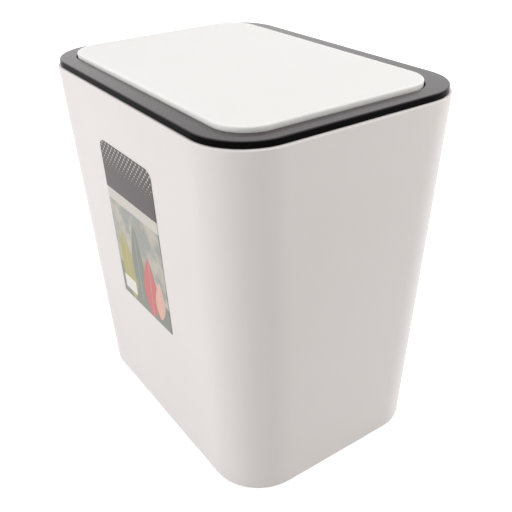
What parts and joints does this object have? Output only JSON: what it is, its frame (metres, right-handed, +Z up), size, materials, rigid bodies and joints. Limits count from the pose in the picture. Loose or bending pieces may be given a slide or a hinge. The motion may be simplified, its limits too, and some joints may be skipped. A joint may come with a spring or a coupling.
{
  "type": "push top countertop bin",
  "caption": "Small tapered countertop bin with rounded corners, a dark surround and a raised lid that springs open at the back when its front edge is pressed.",
  "frame": {"origin": "on the counter, under the middle of the bin's rim", "axes": "+Z up, +X to the right seen from the front, the front face with the label looks along -Y, the hinge is at +Y"},
  "size_m": [0.23, 0.169, 0.246],
  "materials": {
    "body_white": "fine matt white moulded plastic",
    "lid_white": "satin white moulded plastic",
    "frame_black": "glossy black moulded plastic",
    "inner_black": "matt black moulded plastic",
    "latch_grey": "dark grey acetal",
    "acetal_white": "natural acetal",
    "steel": "zinc-plated steel",
    "rubber": "matt black rubber",
    "label_paper": "coated printed paper"
  },
  "bodies": {
    "base": {"outer_body": "body_white", "rubber_feet": "rubber", "front_label": "label_paper"},
    "frame": {"top_frame": "frame_black", "frame_buffers": "rubber", "hinge_rod": "steel", "hinge_spring_left": "steel", "hinge_spring_right": "steel", "latch_housing": "latch_grey", "latch_cap": "latch_grey", "latch_screws": "steel", "latch_spring": "steel", "latch_wire": "steel"},
    "lid": {"lid_cover": "lid_white", "lid_liner": "inner_black", "lid_screws": "steel", "latch_striker": "latch_grey", "striker_screws": "steel"},
    "carriage": {"latch_slider": "acetal_white", "latch_fork": "acetal_white"}
  },
  "joints": [
    {"name": "frame_lift", "type": "slide", "parent": "base", "child": "frame", "axis": [0, 0, 1], "range_m": [0, 0.07]},
    {"name": "lid_hinge", "type": "hinge", "parent": "frame", "child": "lid", "pos_m": [0, 0.0747, 0.236], "axis": [-1, 0, 0], "range_deg": [-1.1, 80], "deforming": ["hinge_spring_left", "hinge_spring_right", "latch_fork"]},
    {"name": "latch_travel", "type": "slide", "parent": "frame", "child": "carriage", "axis": [0, 0, 1], "range_m": [-0.003, 0.0055], "stiffness_N_per_m": 250, "deforming": ["latch_spring", "latch_wire"]}
  ]
}
